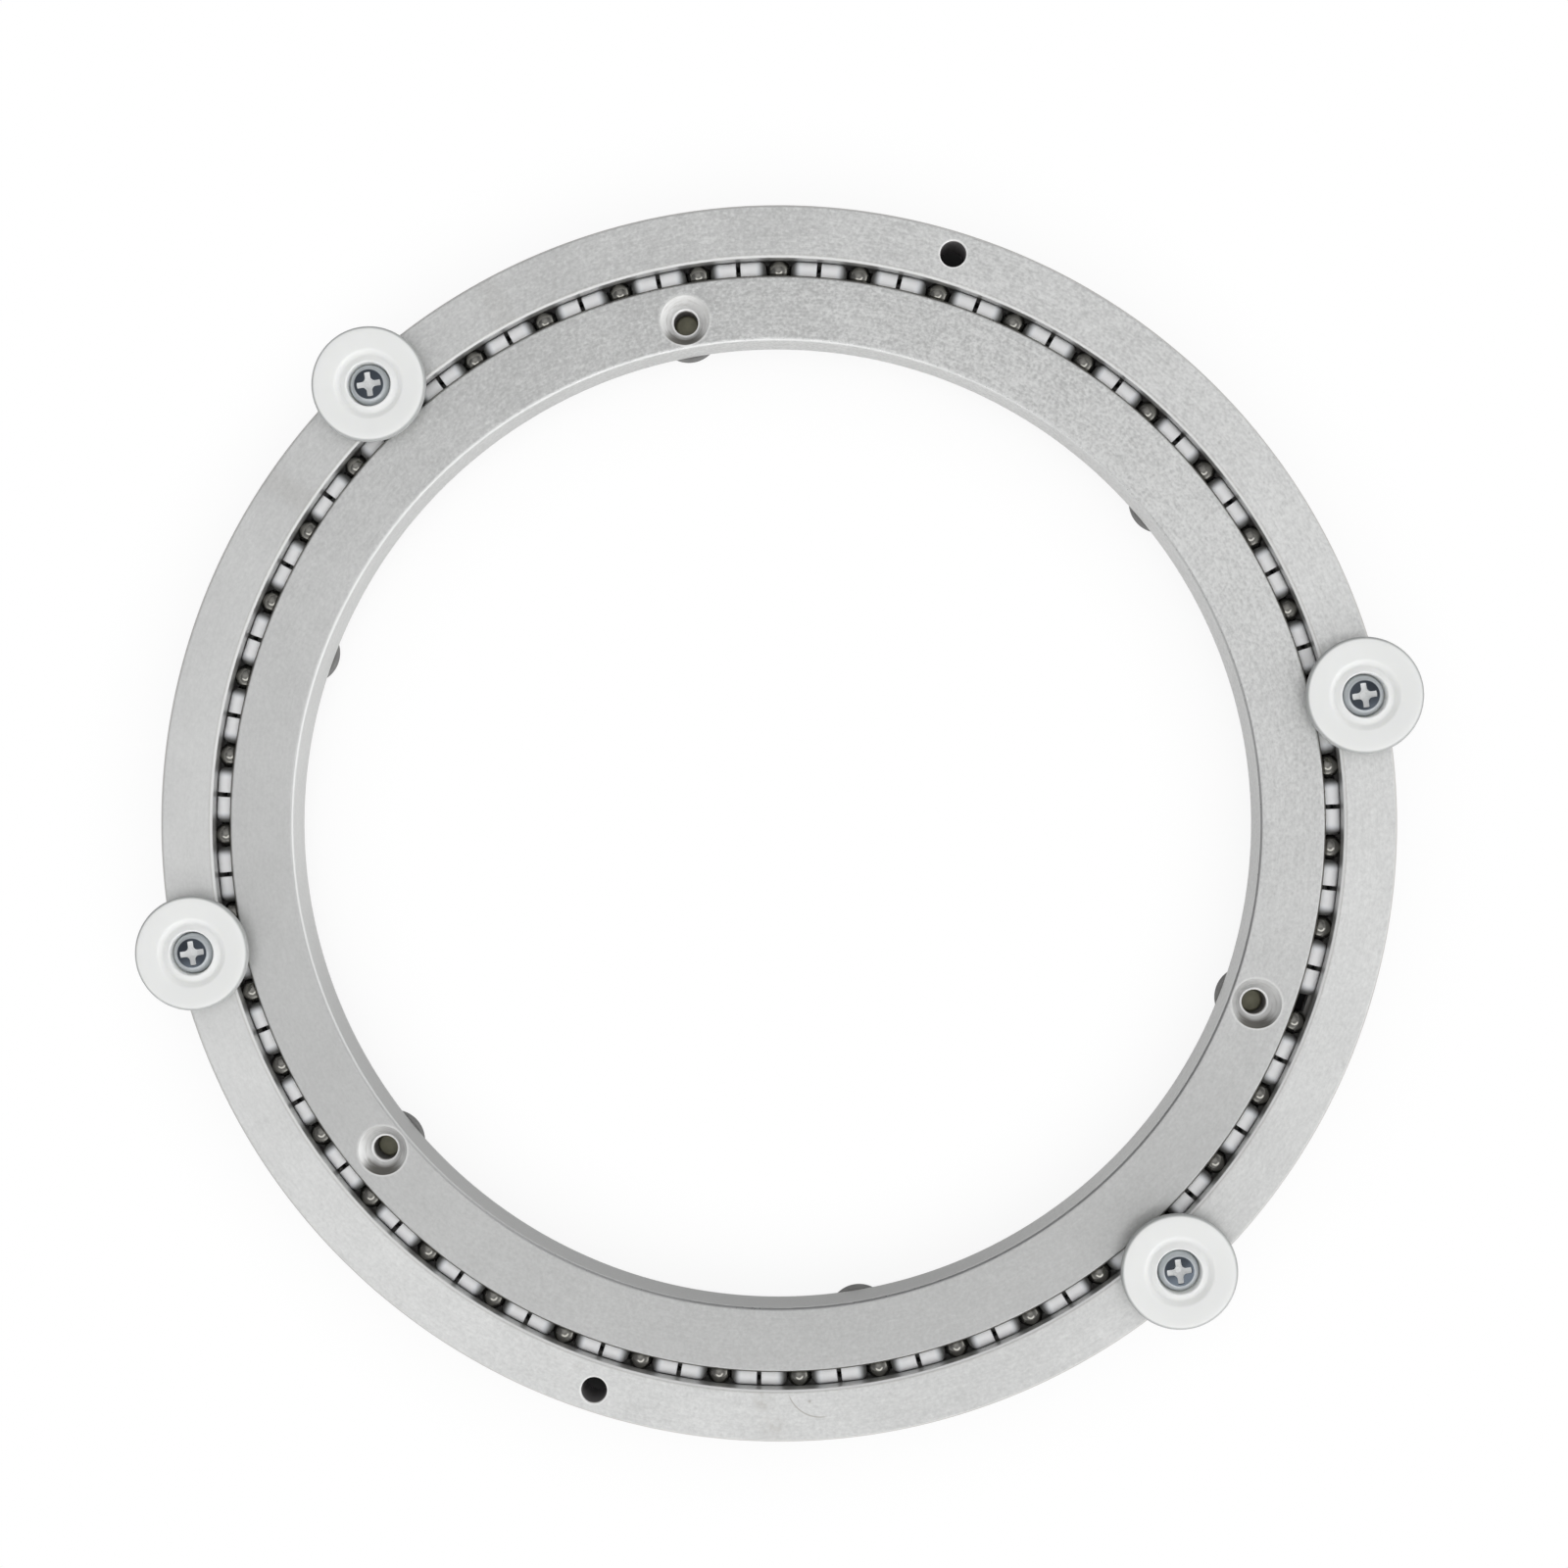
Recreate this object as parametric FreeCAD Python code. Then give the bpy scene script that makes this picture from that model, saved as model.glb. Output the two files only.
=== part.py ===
"""Lazy susan bearing: an aluminium ring that turns round another on a train of balls and spacers.

+Z is up and the origin lies on the bearing's axis, in the plane that the rubber feet stand on.
The two free screw holes of the outer ring lie on the X axis. Lengths are in mm, angles in degrees.
"""

import FreeCAD, Part

import os
from math import asin, cos, degrees, radians, sin, sqrt

Vector = FreeCAD.Vector

# Balls
BALL_DIA = 6.0
BALL_COUNT = 43
RACE_CLEARANCE = 0.06  # between a ball and the groove it runs in
GROOVE_DEPTH = 0.96  # of each groove behind the lip of its ring
TRAIN_START = 272.8  # angle of the first spacer
TRAIN_SLACK = 4.0  # free length that is left once every ball and spacer touches the next

# Spacers
SPACER_CLEARANCE = 0.2  # between a spacer and the grooves
SPACER_PLAY = 0.02  # between a spacer's end and the ball beside it
SPACER_END_DIA = 2.6  # of the flat that bears on a ball
SPACER_ROUNDING = 2.6  # length of the rounded ends
SPACER_SLOT = 1.1  # width of the slot round the middle
SPACER_NECK_DIA = 1.3  # of the neck that joins the two barrels

# Rings
OUTER_RADIUS = 150.0  # to the rim of the outer ring
OUTER_WIDTH = 12.9  # radial
INNER_WIDTH = 15.7  # radial
RING_HEIGHT = 10.0
RING_EDGE = 0.6  # chamfer along the rim and the bore
LIP_EDGE = 0.8  # chamfer along both sides of the race

# Screw holes of the outer ring
SCREW_HOLE_DIA = 6.3
SCREW_HOLE_COUNT = 6
SCREW_HOLE_INSET = 5.6  # from the rim to the middle of a hole
SCREW_HOLE_EDGE = 0.3  # chamfer at both ends of a hole
FREE_HOLE_COUNT = 2  # evenly spaced, and the other holes carry cups

# Cups
CUP_DIA = 27.6
CUP_HEIGHT = 4.0  # from the ring's face to the rim
CUP_RIM = 1.6  # thickness of the flange at its half-round rim
CUP_RIM_WIDTH = 0.9  # of the flat that the turntable top rests on
CUP_DISH = 3.85  # height of the flange beside its groove
CUP_HUB_DIA = 14.4
CUP_HUB_SIDE = 1.7  # height of the hub below the flange
CUP_GROOVE_DIA = 14.2  # of the shallow groove between the flange and the collar
CUP_GROOVE_WIDTH = 1.2  # from the bottom of the groove to the flange
CUP_GROOVE = 3.3  # height of the bottom of the groove
CUP_COLLAR = 3.9  # height of the collar round the screw head
WELL_FIT = 0.2  # radial, between the screw head and the well that it lies in
WELL_LEAN = 0.3  # by which the well widens towards the top of the collar
WELL_FLOOR = 0.9  # thickness under the screw head
PLUG_LENGTH = 8.0
PLUG_FIT = 0.08  # radial, between the plug and its hole

# Screws
HEAD_DIA = 9.8
HEAD_HEIGHT = 2.7
HEAD_SIDE = 0.8  # height of the straight side of the head
HEAD_CROWN_DIA = 7.0  # of the nearly flat crown inside the rounded shoulder
HEAD_CROWN = 0.2  # height by which the crown rises to the middle
SHANK_DIA = 4.0
SHANK_LENGTH = 8.2
SHANK_FIT = 0.05  # radial, between the shank and the plug
CROSS_SPAN = 5.9
CROSS_WIDTH = 1.1  # of a wing at its tip
CROSS_CORNER = 2.3  # radius of the round corner between two wings
CROSS_DEPTH = 1.8
CROSS_TAPER = 0.2  # by which each side of a wing leans in towards the bottom
CROSS_TURN = 26.3  # of the cross recess, from the X axis

# Feet
FOOT_DIA = 15.5
FOOT_HEIGHT = 2.5
FOOT_EDGE = 0.6  # chamfer along the bottom edge
FOOT_TAPER = 0.3  # by which the radius shrinks towards the ring
FOOT_COUNT = 6
FOOT_START = 27.4  # angle of the first foot, as the rings stand at rest
FOOT_INSET = 6.9  # from the bore of the inner ring to the middle of a foot
FOOT_HOLE_DIA = 6.0
STEM_LENGTH = 3.0
STEM_FIT = 0.05  # radial, between the stem and its hole
STEM_TIP = 0.55  # chamfer at the tip of the stem
STEM_END_GAP = 0.5  # beyond the tip, in a blind hole
SINK_COUNT = 3  # feet that sit in countersunk through holes, evenly spaced
SINK_DIA = 12.0  # across the 90 degree countersink

# Where the pieces meet
ring_low = FOOT_HEIGHT
ring_top = ring_low + RING_HEIGHT
race_height = (ring_low + ring_top) / 2
groove_radius = BALL_DIA / 2 + RACE_CLEARANCE
groove_half = sqrt(groove_radius**2 - (groove_radius - GROOVE_DEPTH) ** 2)
outer_lip = OUTER_RADIUS - OUTER_WIDTH
ball_circle = outer_lip + GROOVE_DEPTH - groove_radius
inner_lip = ball_circle - groove_radius + GROOVE_DEPTH
bore_radius = inner_lip - INNER_WIDTH
screw_circle = OUTER_RADIUS - SCREW_HOLE_INSET
foot_circle = bore_radius + FOOT_INSET
train_step = (360 - degrees(TRAIN_SLACK / ball_circle)) / BALL_COUNT
spacer_circle = ball_circle * cos(radians(train_step / 2))
spacer_radius = groove_radius - (ball_circle - spacer_circle) - SPACER_CLEARANCE
spacer_length = 2 * ball_circle * sin(radians(train_step / 2)) - BALL_DIA - 2 * SPACER_PLAY
plug_radius = SCREW_HOLE_DIA / 2 - PLUG_FIT
well_radius = HEAD_DIA / 2 + WELL_FIT
shank_hole_radius = SHANK_DIA / 2 + SHANK_FIT
stem_radius = FOOT_HOLE_DIA / 2 - STEM_FIT


def outline(start, *steps):
    """Closed wire in the XZ plane. A step (x, z) is a straight run, and (x, z, x, z) an arc through a point."""
    edges = []
    here = Vector(start[0], 0, start[1])
    for step in (*steps, start):
        end = Vector(step[-2], 0, step[-1])
        if len(step) == 2:
            edges.append(Part.makeLine(here, end))
        else:
            edges.append(Part.Arc(here, Vector(step[0], 0, step[1]), end).toShape())
        here = end
    return Part.Wire(edges)


def turned(section):
    """Solid of revolution of a section round the Z axis."""
    return Part.Face(section).revolve(Vector(0, 0, 0), Vector(0, 0, 1), 360)


def placed(shape, radius, angle, height=0.0):
    """Copy of a shape made at the origin, moved out along X to a radius and then swung round the axis."""
    shape = shape.copy()
    shape.translate(Vector(radius, 0, height))
    shape.rotate(Vector(0, 0, 0), Vector(0, 0, 1), angle)
    return shape


def around(count, start=0.0):
    """Evenly spaced angles of a full circle."""
    return [start + n * 360 / count for n in range(count)]


def ring(wall, lip):
    """Flat ring with chamfered edges, and a race groove in the lip side, which faces the balls."""
    facing = 1 if lip > wall else -1
    edge, race_edge = facing * RING_EDGE, facing * LIP_EDGE
    return turned(
        outline(
            (wall, ring_low + RING_EDGE),
            (wall, ring_top - RING_EDGE),
            (wall + edge, ring_top),
            (lip - race_edge, ring_top),
            (lip, ring_top - LIP_EDGE),
            (lip, race_height + groove_half),
            (lip - facing * GROOVE_DEPTH, race_height, lip, race_height - groove_half),
            (lip, ring_low + LIP_EDGE),
            (lip - race_edge, ring_low),
            (wall + edge, ring_low),
        )
    )


def screw_hole():
    """Cutter for a hole through the outer ring, chamfered at both ends."""
    radius = SCREW_HOLE_DIA / 2
    wide = radius + SCREW_HOLE_EDGE
    return turned(
        outline(
            (0, ring_low),
            (wide, ring_low),
            (radius, ring_low + SCREW_HOLE_EDGE),
            (radius, ring_top - SCREW_HOLE_EDGE),
            (wide, ring_top),
            (0, ring_top),
        )
    )


def sunk_hole():
    """Cutter for a foot's hole that goes through the inner ring and is countersunk at the top."""
    radius, wide = FOOT_HOLE_DIA / 2, SINK_DIA / 2
    return turned(
        outline(
            (0, ring_low),
            (radius, ring_low),
            (radius, ring_top - (wide - radius)),
            (wide, ring_top),
            (0, ring_top),
        )
    )


def blind_hole():
    """Cutter for a foot's hole that ends inside the inner ring."""
    return Part.makeCylinder(FOOT_HOLE_DIA / 2, STEM_LENGTH + STEM_END_GAP, Vector(0, 0, ring_low))


def outer_ring():
    """The turning ring."""
    holes = [placed(screw_hole(), screw_circle, a) for a in around(SCREW_HOLE_COUNT)]
    return ring(OUTER_RADIUS, outer_lip).cut(holes)


def inner_ring():
    """The standing ring, with a hole for each foot."""
    holes = []
    for n, angle in enumerate(around(FOOT_COUNT, FOOT_START)):
        hole = blind_hole() if n % (FOOT_COUNT // SINK_COUNT) else sunk_hole()
        holes.append(placed(hole, foot_circle, angle))
    return ring(bore_radius, inner_lip).cut(holes)


def balls():
    """The whole train of balls, as separate solids."""
    ball = Part.makeSphere(BALL_DIA / 2)
    steps = [TRAIN_START + (n + 0.5) * train_step for n in range(BALL_COUNT)]
    return Part.Compound([placed(ball, ball_circle, angle, race_height) for angle in steps])


def spacer(angle):
    """Two barrels joined by a neck, in one piece, with rounded ends that bear on the balls."""
    half, slot, neck = spacer_length / 2, SPACER_SLOT / 2, SPACER_NECK_DIA / 2
    end, shoulder = SPACER_END_DIA / 2, half - SPACER_ROUNDING
    inward = spacer_radius - end
    sweep = (inward**2 + SPACER_ROUNDING**2) / (2 * inward)
    midway = asin(SPACER_ROUNDING / sweep) / 2
    bulge = spacer_radius - sweep * (1 - cos(midway))
    along = shoulder + sweep * sin(midway)
    body = turned(
        outline(
            (0, -half),
            (end, -half),
            (bulge, -along, spacer_radius, -shoulder),
            (spacer_radius, -slot),
            (neck, -slot),
            (neck, slot),
            (spacer_radius, slot),
            (spacer_radius, shoulder),
            (bulge, along, end, half),
            (0, half),
        )
    )
    body.rotate(Vector(0, 0, 0), Vector(1, 0, 0), -90)
    return placed(body, spacer_circle, angle, race_height)


def cup(angle):
    """Soft cup with a collar round its screw. Its hub stands on the ring, and a hollow plug fills the hole."""
    rim, hub, groove = CUP_DIA / 2, CUP_HUB_DIA / 2, CUP_GROOVE_DIA / 2
    under_rim = CUP_HEIGHT - CUP_RIM
    flat = rim - CUP_RIM / 2
    body = turned(
        outline(
            (shank_hole_radius, -PLUG_LENGTH),
            (plug_radius, -PLUG_LENGTH),
            (plug_radius, 0),
            (hub, 0),
            (hub, CUP_HUB_SIDE),
            (flat, under_rim),
            (rim, CUP_HEIGHT - CUP_RIM / 2, flat, CUP_HEIGHT),
            (flat - CUP_RIM_WIDTH, CUP_HEIGHT),
            (groove + CUP_GROOVE_WIDTH, CUP_DISH),
            (groove, CUP_GROOVE),
            (well_radius + WELL_LEAN, CUP_COLLAR),
            (well_radius, WELL_FLOOR),
            (shank_hole_radius, WELL_FLOOR),
        )
    )
    return placed(body, screw_circle, angle, ring_top)


def cross_recess():
    """Cutter for the cross in a screw head: a cone, with the metal between its four wings left standing."""
    low = Vector(0, 0, -CROSS_DEPTH)
    cone = Part.makeCone(CROSS_WIDTH / 2, CROSS_SPAN / 2, CROSS_DEPTH, low)
    corner = Part.makeCone(CROSS_CORNER + CROSS_TAPER, CROSS_CORNER, CROSS_DEPTH, low)
    reach = (CROSS_WIDTH / 2 + CROSS_CORNER) * sqrt(2)
    return cone.cut([placed(corner, reach, angle) for angle in around(4, 45)])


def screw(angle):
    """Pan-head screw, seated on the floor of its cup."""
    head, crown, shank = HEAD_DIA / 2, HEAD_CROWN_DIA / 2, SHANK_DIA / 2
    shoulder = HEAD_HEIGHT - HEAD_CROWN
    halfway = sin(radians(45))
    body = turned(
        outline(
            (0, -SHANK_LENGTH),
            (shank, shank - SHANK_LENGTH),
            (shank, 0),
            (head, 0),
            (head, HEAD_SIDE),
            (
                crown + (head - crown) * halfway,
                HEAD_SIDE + (shoulder - HEAD_SIDE) * halfway,
                crown,
                shoulder,
            ),
            (crown / 2, HEAD_HEIGHT - HEAD_CROWN / 4, 0, HEAD_HEIGHT),
        )
    )
    cross = cross_recess()
    cross.translate(Vector(0, 0, HEAD_HEIGHT))
    body = body.cut(cross)
    body.rotate(Vector(0, 0, 0), Vector(0, 0, 1), CROSS_TURN - angle)
    return placed(body, screw_circle, angle, ring_top + WELL_FLOOR)


def foot(angle):
    """Rubber foot with a stem that pushes into the inner ring."""
    pad, stem = FOOT_DIA / 2, stem_radius
    body = turned(
        outline(
            (0, 0),
            (pad - FOOT_EDGE, 0),
            (pad, FOOT_EDGE),
            (pad - FOOT_TAPER, FOOT_HEIGHT),
            (stem, FOOT_HEIGHT),
            (stem, FOOT_HEIGHT + STEM_LENGTH - STEM_TIP),
            (stem - STEM_TIP, FOOT_HEIGHT + STEM_LENGTH),
            (0, FOOT_HEIGHT + STEM_LENGTH),
        )
    )
    return placed(body, foot_circle, angle)


def pieces():
    """Every piece of the bearing by name."""
    found = {"outer_ring": outer_ring(), "inner_ring": inner_ring(), "balls": balls()}
    for n in range(BALL_COUNT):
        found[f"spacer_{n + 1:02d}"] = spacer(TRAIN_START + n * train_step)
    holes = enumerate(around(SCREW_HOLE_COUNT))
    cup_angles = [angle for n, angle in holes if n % (SCREW_HOLE_COUNT // FREE_HOLE_COUNT)]
    for n, angle in enumerate(cup_angles, 1):
        found[f"cup_{n}"] = cup(angle)
        found[f"screw_{n}"] = screw(angle)
    for n, angle in enumerate(around(FOOT_COUNT, FOOT_START), 1):
        found[f"foot_{n}"] = foot(angle)
    return found


def main():
    os.makedirs("parts", exist_ok=True)
    for name, shape in pieces().items():
        shape.exportStep(f"parts/{name}.step")


main()
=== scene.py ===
"""Lazy susan bearing: the visible pieces and their finishes, set on the frame of its solids, and a plain stage.

Lengths are in metres. Z is the bearing's axis, and Z = 0 is the plane that its rubber feet stand on.
"""

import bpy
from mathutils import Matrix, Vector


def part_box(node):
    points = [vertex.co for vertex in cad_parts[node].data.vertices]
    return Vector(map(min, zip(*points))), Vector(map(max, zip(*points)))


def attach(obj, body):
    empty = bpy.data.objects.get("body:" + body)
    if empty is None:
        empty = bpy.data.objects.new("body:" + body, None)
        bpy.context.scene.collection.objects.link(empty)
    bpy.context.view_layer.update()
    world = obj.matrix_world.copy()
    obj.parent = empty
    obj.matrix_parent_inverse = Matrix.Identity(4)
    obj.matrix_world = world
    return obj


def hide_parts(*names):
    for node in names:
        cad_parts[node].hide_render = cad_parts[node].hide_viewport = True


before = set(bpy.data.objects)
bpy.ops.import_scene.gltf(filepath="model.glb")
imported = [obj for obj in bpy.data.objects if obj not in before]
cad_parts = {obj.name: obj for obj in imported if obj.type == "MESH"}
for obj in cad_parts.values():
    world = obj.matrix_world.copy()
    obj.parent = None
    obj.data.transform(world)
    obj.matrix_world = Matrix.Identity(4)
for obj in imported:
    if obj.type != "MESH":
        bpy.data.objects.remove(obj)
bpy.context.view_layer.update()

from math import asin, atan2, cos, degrees, hypot, pi, radians, sin, sqrt, tan

import bmesh
import bpy
from bpy.props import FloatProperty, FloatVectorProperty, IntProperty, PointerProperty
from mathutils import Matrix, Vector

bl_info = {
    "name": "Lazy susan bearing",
    "version": (1, 0, 0),
    "blender": (4, 5, 0),
    "location": "3D View > Sidebar > Bearing",
    "description": "Builds the visible pieces of a ball bearing for a turntable, their finishes and a stage",
    "category": "Add Mesh",
}

RING_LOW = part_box("outer_ring")[0][2]
RING_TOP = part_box("outer_ring")[1][2]
RACE_HEIGHT = (RING_LOW + RING_TOP) / 2
SCREW_HOLES = 6
HOLE_FACES = 72  # round each hole in the rings
CLEAR = 0.001  # by which a cutter stands out of what it cuts
SPACERS = sorted(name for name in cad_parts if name.startswith("spacer_"))
CUPS = sorted(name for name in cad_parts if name.startswith("cup_"))
SCREWS = sorted(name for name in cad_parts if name.startswith("screw_"))
FEET = sorted(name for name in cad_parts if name.startswith("foot_"))

# Angles from the X axis, in degrees
PICTURE_RIGHT = -72.45
PICTURE_DOWN = PICTURE_RIGHT - 90
PAINTED_SHEEN = PICTURE_RIGHT + 20  # where a painted sheen makes the rings' faces lightest, and lightest again across from it


def length(name, description, default):
    """A length that the user can change."""
    return FloatProperty(name=name, description=description, default=default, unit="LENGTH", precision=5, min=0.0)


def angle(name, description, default):
    """An angle, given in degrees and kept in radians."""
    return FloatProperty(name=name, description=description, default=radians(default), unit="ROTATION")


def colour(name, description, default):
    """A colour of a finish."""
    return FloatVectorProperty(
        name=name, description=description, default=default, size=3, min=0.0, max=1.0, subtype="COLOR"
    )


def number(name, description, default):
    """How many faces go round a turned piece."""
    return IntProperty(name=name, description=description, default=default, min=12)


class RingSizes(bpy.types.PropertyGroup):
    """Sizes and finish of both aluminium rings."""

    outer_radius: length("Outer radius", "To the rim of the outer ring", 0.150)
    outer_lip: length("Outer lip", "Radius of the outer ring's side of the gap", 0.1372)
    inner_lip: length("Inner lip", "Radius of the inner ring's side of the gap", 0.1331)
    bore: length("Bore", "Radius of the opening in the inner ring", 0.1172)
    edge: length("Edge", "Bevel along the rim and the bore", 0.0006)
    lip_edge: length("Lip edge", "Bevel along both sides of the race", 0.0007)
    lip_drop: length("Lip drop", "Height of the outer ring's bevel beside the race", 0.0002)
    soft: length("Softness", "Rounding where a bevel meets a face", 0.0006)
    groove: length("Race groove", "Radius of the grooves that the balls run in", 0.00306)
    race: length("Race", "Radius of the circle that the balls' middles run on", 0.1350)
    screw_hole: length("Screw hole", "Radius of the holes in the outer ring", 0.00315)
    screw_circle: length("Screw circle", "Radius on which those holes lie", 0.1444)
    foot_hole: length("Foot hole", "Radius of the holes in the inner ring", 0.0030)
    sink: length("Countersink", "Radius of the countersinks at the top", 0.0060)
    stem_room: length("Stem room", "Depth of the blind holes above the feet", 0.0035)
    faces: number("Faces round", "Faces round each ring", 360)
    metal: colour("Metal", "Colour of the aluminium faces", (0.715, 0.72, 0.712))
    turned: colour("Turned metal", "Colour of the aluminium where it is turned bright", (0.74, 0.745, 0.74))
    # The colour of the dull marks, also used for painted shade along the outer lip's seam and the outer rim
    marks_and_shade: colour("Marks", "Colour of the dull marks on the faces", (0.42, 0.40, 0.37))
    # Rubbed metal, also used as painted light on the polished ring's bore wall and in the countersinks
    rubbed: colour("Rubbed metal", "Colour of the aluminium round the holes and on the outer lip", (0.93, 0.93, 0.92))
    # Painted shade deep in the holes
    painted_hole_shade: colour("Dirt", "Colour deep in the holes", (0.16, 0.15, 0.155))
    # Oil in the race, also used for a painted shade on one side of each countersink
    oil: colour("Oil", "Colour of the oily metal in the race", (0.20, 0.19, 0.165))


class BallSizes(bpy.types.PropertyGroup):
    """Sizes and finish of the steel balls."""

    radius: length("Radius", "Of a ball", 0.0030)
    circle: length("Circle", "Radius on which the balls lie", 0.1350)
    faces: number("Faces round", "Faces round each ball", 40)
    steel: colour("Steel", "Colour of the balls", (0.26, 0.255, 0.235))


class SpacerSizes(bpy.types.PropertyGroup):
    """Sizes and finish of the spacers between the balls."""

    radius: length("Radius", "Of a barrel", 0.00287)
    end_radius: length("End radius", "Of the flat that bears on a ball", 0.0016)
    length: length("Length", "Over both barrels", 0.01357)
    rounding: length("Rounding", "Length of the rounded ends", 0.0017)
    slot: length("Slot", "Width of the slot round the middle", 0.0011)
    neck: length("Neck", "Radius of the neck in the slot", 0.00065)
    edge: length("Edge", "Rounding of the barrels' edges", 0.00012)
    faces: number("Faces round", "Faces round each barrel", 32)
    plastic: colour("Plastic", "Colour of the spacers", (0.93, 0.95, 1.0))
    # Painted shade in the spacers' slots and at the barrels' ends
    painted_spacer_shade: colour("Grease", "Colour of the grease in the slots", (0.06, 0.06, 0.055))


class CupSizes(bpy.types.PropertyGroup):
    """Sizes and finish of the soft cups."""

    radius: length("Radius", "Of the flange", 0.01395)
    height: length("Height", "From the ring's face to the rim", 0.0040)
    rim: length("Rim", "Thickness of the flange at its half-round rim", 0.0016)
    rim_flat: length("Rim flat", "Width of the flat that a turntable top rests on", 0.0009)
    hub: length("Hub", "Radius of the hub that stands on the ring", 0.0072)
    hub_side: length("Hub side", "Height of the hub below the flange", 0.0017)
    dish: length("Dish", "Height of the flange beside its groove", 0.00385)
    groove: length("Groove", "Radius of the groove between the flange and the collar", 0.0071)
    groove_width: length("Groove width", "From the bottom of the groove to the flange", 0.0012)
    groove_height: length("Groove height", "Height of the bottom of the groove", 0.0030)
    collar: length("Collar", "Height of the collar round the screw head", 0.0039)
    well: length("Well", "Radius of the well that the screw head lies in", 0.00494)
    lean: length("Lean", "By which the well widens towards the top", 0.00046)
    floor: length("Floor", "Height of the well's floor", 0.0009)
    plug: length("Plug", "Radius of the plug that fills the screw hole", 0.00307)
    plug_length: length("Plug length", "Of that plug", 0.0080)
    bore: length("Plug bore", "Radius of the hollow in the plug", 0.00205)
    faces: number("Faces round", "Faces round each cup", 128)
    plastic: colour("Plastic", "Colour of the milky plastic", (0.90, 0.91, 0.90))
    # Painted shade along the cups' rim
    rim_shade: colour("Rim shade", "Colour of the clearer plastic along the rim", (0.40, 0.41, 0.41))
    depth: length("Milkiness", "How far light spreads inside the plastic", 0.0012)


class ScrewSizes(bpy.types.PropertyGroup):
    """Sizes and finish of the screws in the cups."""

    head: length("Head", "Radius of the head", 0.0049)
    side: length("Side", "Height of the straight side of the head", 0.0008)
    height: length("Height", "Of the head", 0.0027)
    crown: length("Crown", "Radius of the nearly flat crown", 0.0035)
    rise: length("Rise", "Height by which the crown rises to the middle", 0.0002)
    shank: length("Shank", "Radius of the shank", 0.0020)
    shank_length: length("Shank length", "Below the head", 0.0082)
    span: length("Cross", "Length of the cross recess", 0.0066)
    wing: length("Wing", "Width of a wing of the cross", 0.0014)
    corner: length("Corner", "Radius of the round corner between two wings", 0.0010)
    cross_depth: length("Cross depth", "Depth of the recess", 0.0018)
    turn: angle("Turn", "Angle of the cross from the X axis", 26.3)
    faces: number("Faces round", "Faces round each head", 96)
    steel: colour("Steel", "Colour of the plated steel", (0.075, 0.088, 0.105))
    # Painted light that makes the cross recess pale
    painted_cross_light: colour("Recess", "Colour of the duller steel in the cross", (0.84, 0.85, 0.85))
    # Painted reflection that makes the shoulder paler
    painted_light: colour("Shoulder", "Colour of the paler plating on the shoulder", (0.76, 0.80, 0.82))


class FootSizes(bpy.types.PropertyGroup):
    """Sizes and finish of the rubber feet."""

    radius: length("Radius", "Of the pad", 0.00775)
    taper: length("Taper", "By which the pad shrinks towards the ring", 0.0003)
    edge: length("Edge", "Rounding along the bottom edge", 0.0008)
    stem: length("Stem", "Radius of the stem", 0.00295)
    stem_length: length("Stem length", "Of the stem that pushes into the ring", 0.0030)
    tip: length("Tip", "Chamfer at the tip of the stem", 0.00055)
    faces: number("Faces round", "Faces round each foot", 64)
    rubber: colour("Rubber", "Colour of the rubber", (0.23, 0.228, 0.225))
    tip_colour: colour("Stem", "Colour of the oily stems", (0.15, 0.145, 0.10))


class StageSizes(bpy.types.PropertyGroup):
    """The camera, the floor and the lamps."""

    turn: angle("Turn", "Angle by which the picture's right lies away from the X axis", PICTURE_RIGHT)
    eye_height: length("Eye height", "Of the camera above the rings", 0.420)
    eye_right: length("Eye right", "Of the camera from the axis, to the picture's right", 0.0154)
    eye_up: length("Eye up", "Of the camera from the axis, to the picture's top", 0.0133)
    lean_left: angle("Lean left", "Of the camera's view from straight down, to the picture's left", 1.721)
    lean_down: angle("Lean down", "Of the camera's view from straight down, to the picture's bottom", 0.453)
    view: length("View", "Width of the picture at the height of the rings", 0.37941)
    floor_size: length("Floor", "Side of the floor", 6.0)
    floor: colour("Floor colour", "Of the floor", (1.0, 1.0, 1.0))


def tidy_vertices(grid):
    """Merges the points that fall together on the axis."""
    bmesh.ops.remove_doubles(grid, verts=grid.verts, dist=1e-8)
    bmesh.ops.recalc_face_normals(grid, faces=grid.faces)
    return grid


def rounded(corners, steps=6):
    """Points of an outline from its corners (radius, height, rounding)."""
    points = []
    for n, (radius, height, rounding) in enumerate(corners):
        here = Vector((radius, height))
        if not rounding:
            points.append(here)
            continue
        back = (Vector(corners[n - 1][:2]) - here).normalized()
        onward = (Vector(corners[(n + 1) % len(corners)][:2]) - here).normalized()
        half = back.angle(onward) / 2
        middle = here + (back + onward).normalized() * (rounding / sin(half))
        first = here + back * (rounding / tan(half)) - middle
        last = here + onward * (rounding / tan(half)) - middle
        start = atan2(first.y, first.x)
        sweep = (atan2(last.y, last.x) - start + pi) % (2 * pi) - pi
        for k in range(steps + 1):
            bearing = start + sweep * k / steps
            points.append(middle + rounding * Vector((cos(bearing), sin(bearing))))
    return points


def arc(middle, radius, start, end, steps):
    """Points of an arc, with its angles in degrees from the radial direction."""
    turns = [radians(start + (end - start) * k / steps) for k in range(steps + 1)]
    return [Vector((middle[0] + radius * cos(t), middle[1] + radius * sin(t))) for t in turns]


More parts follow.
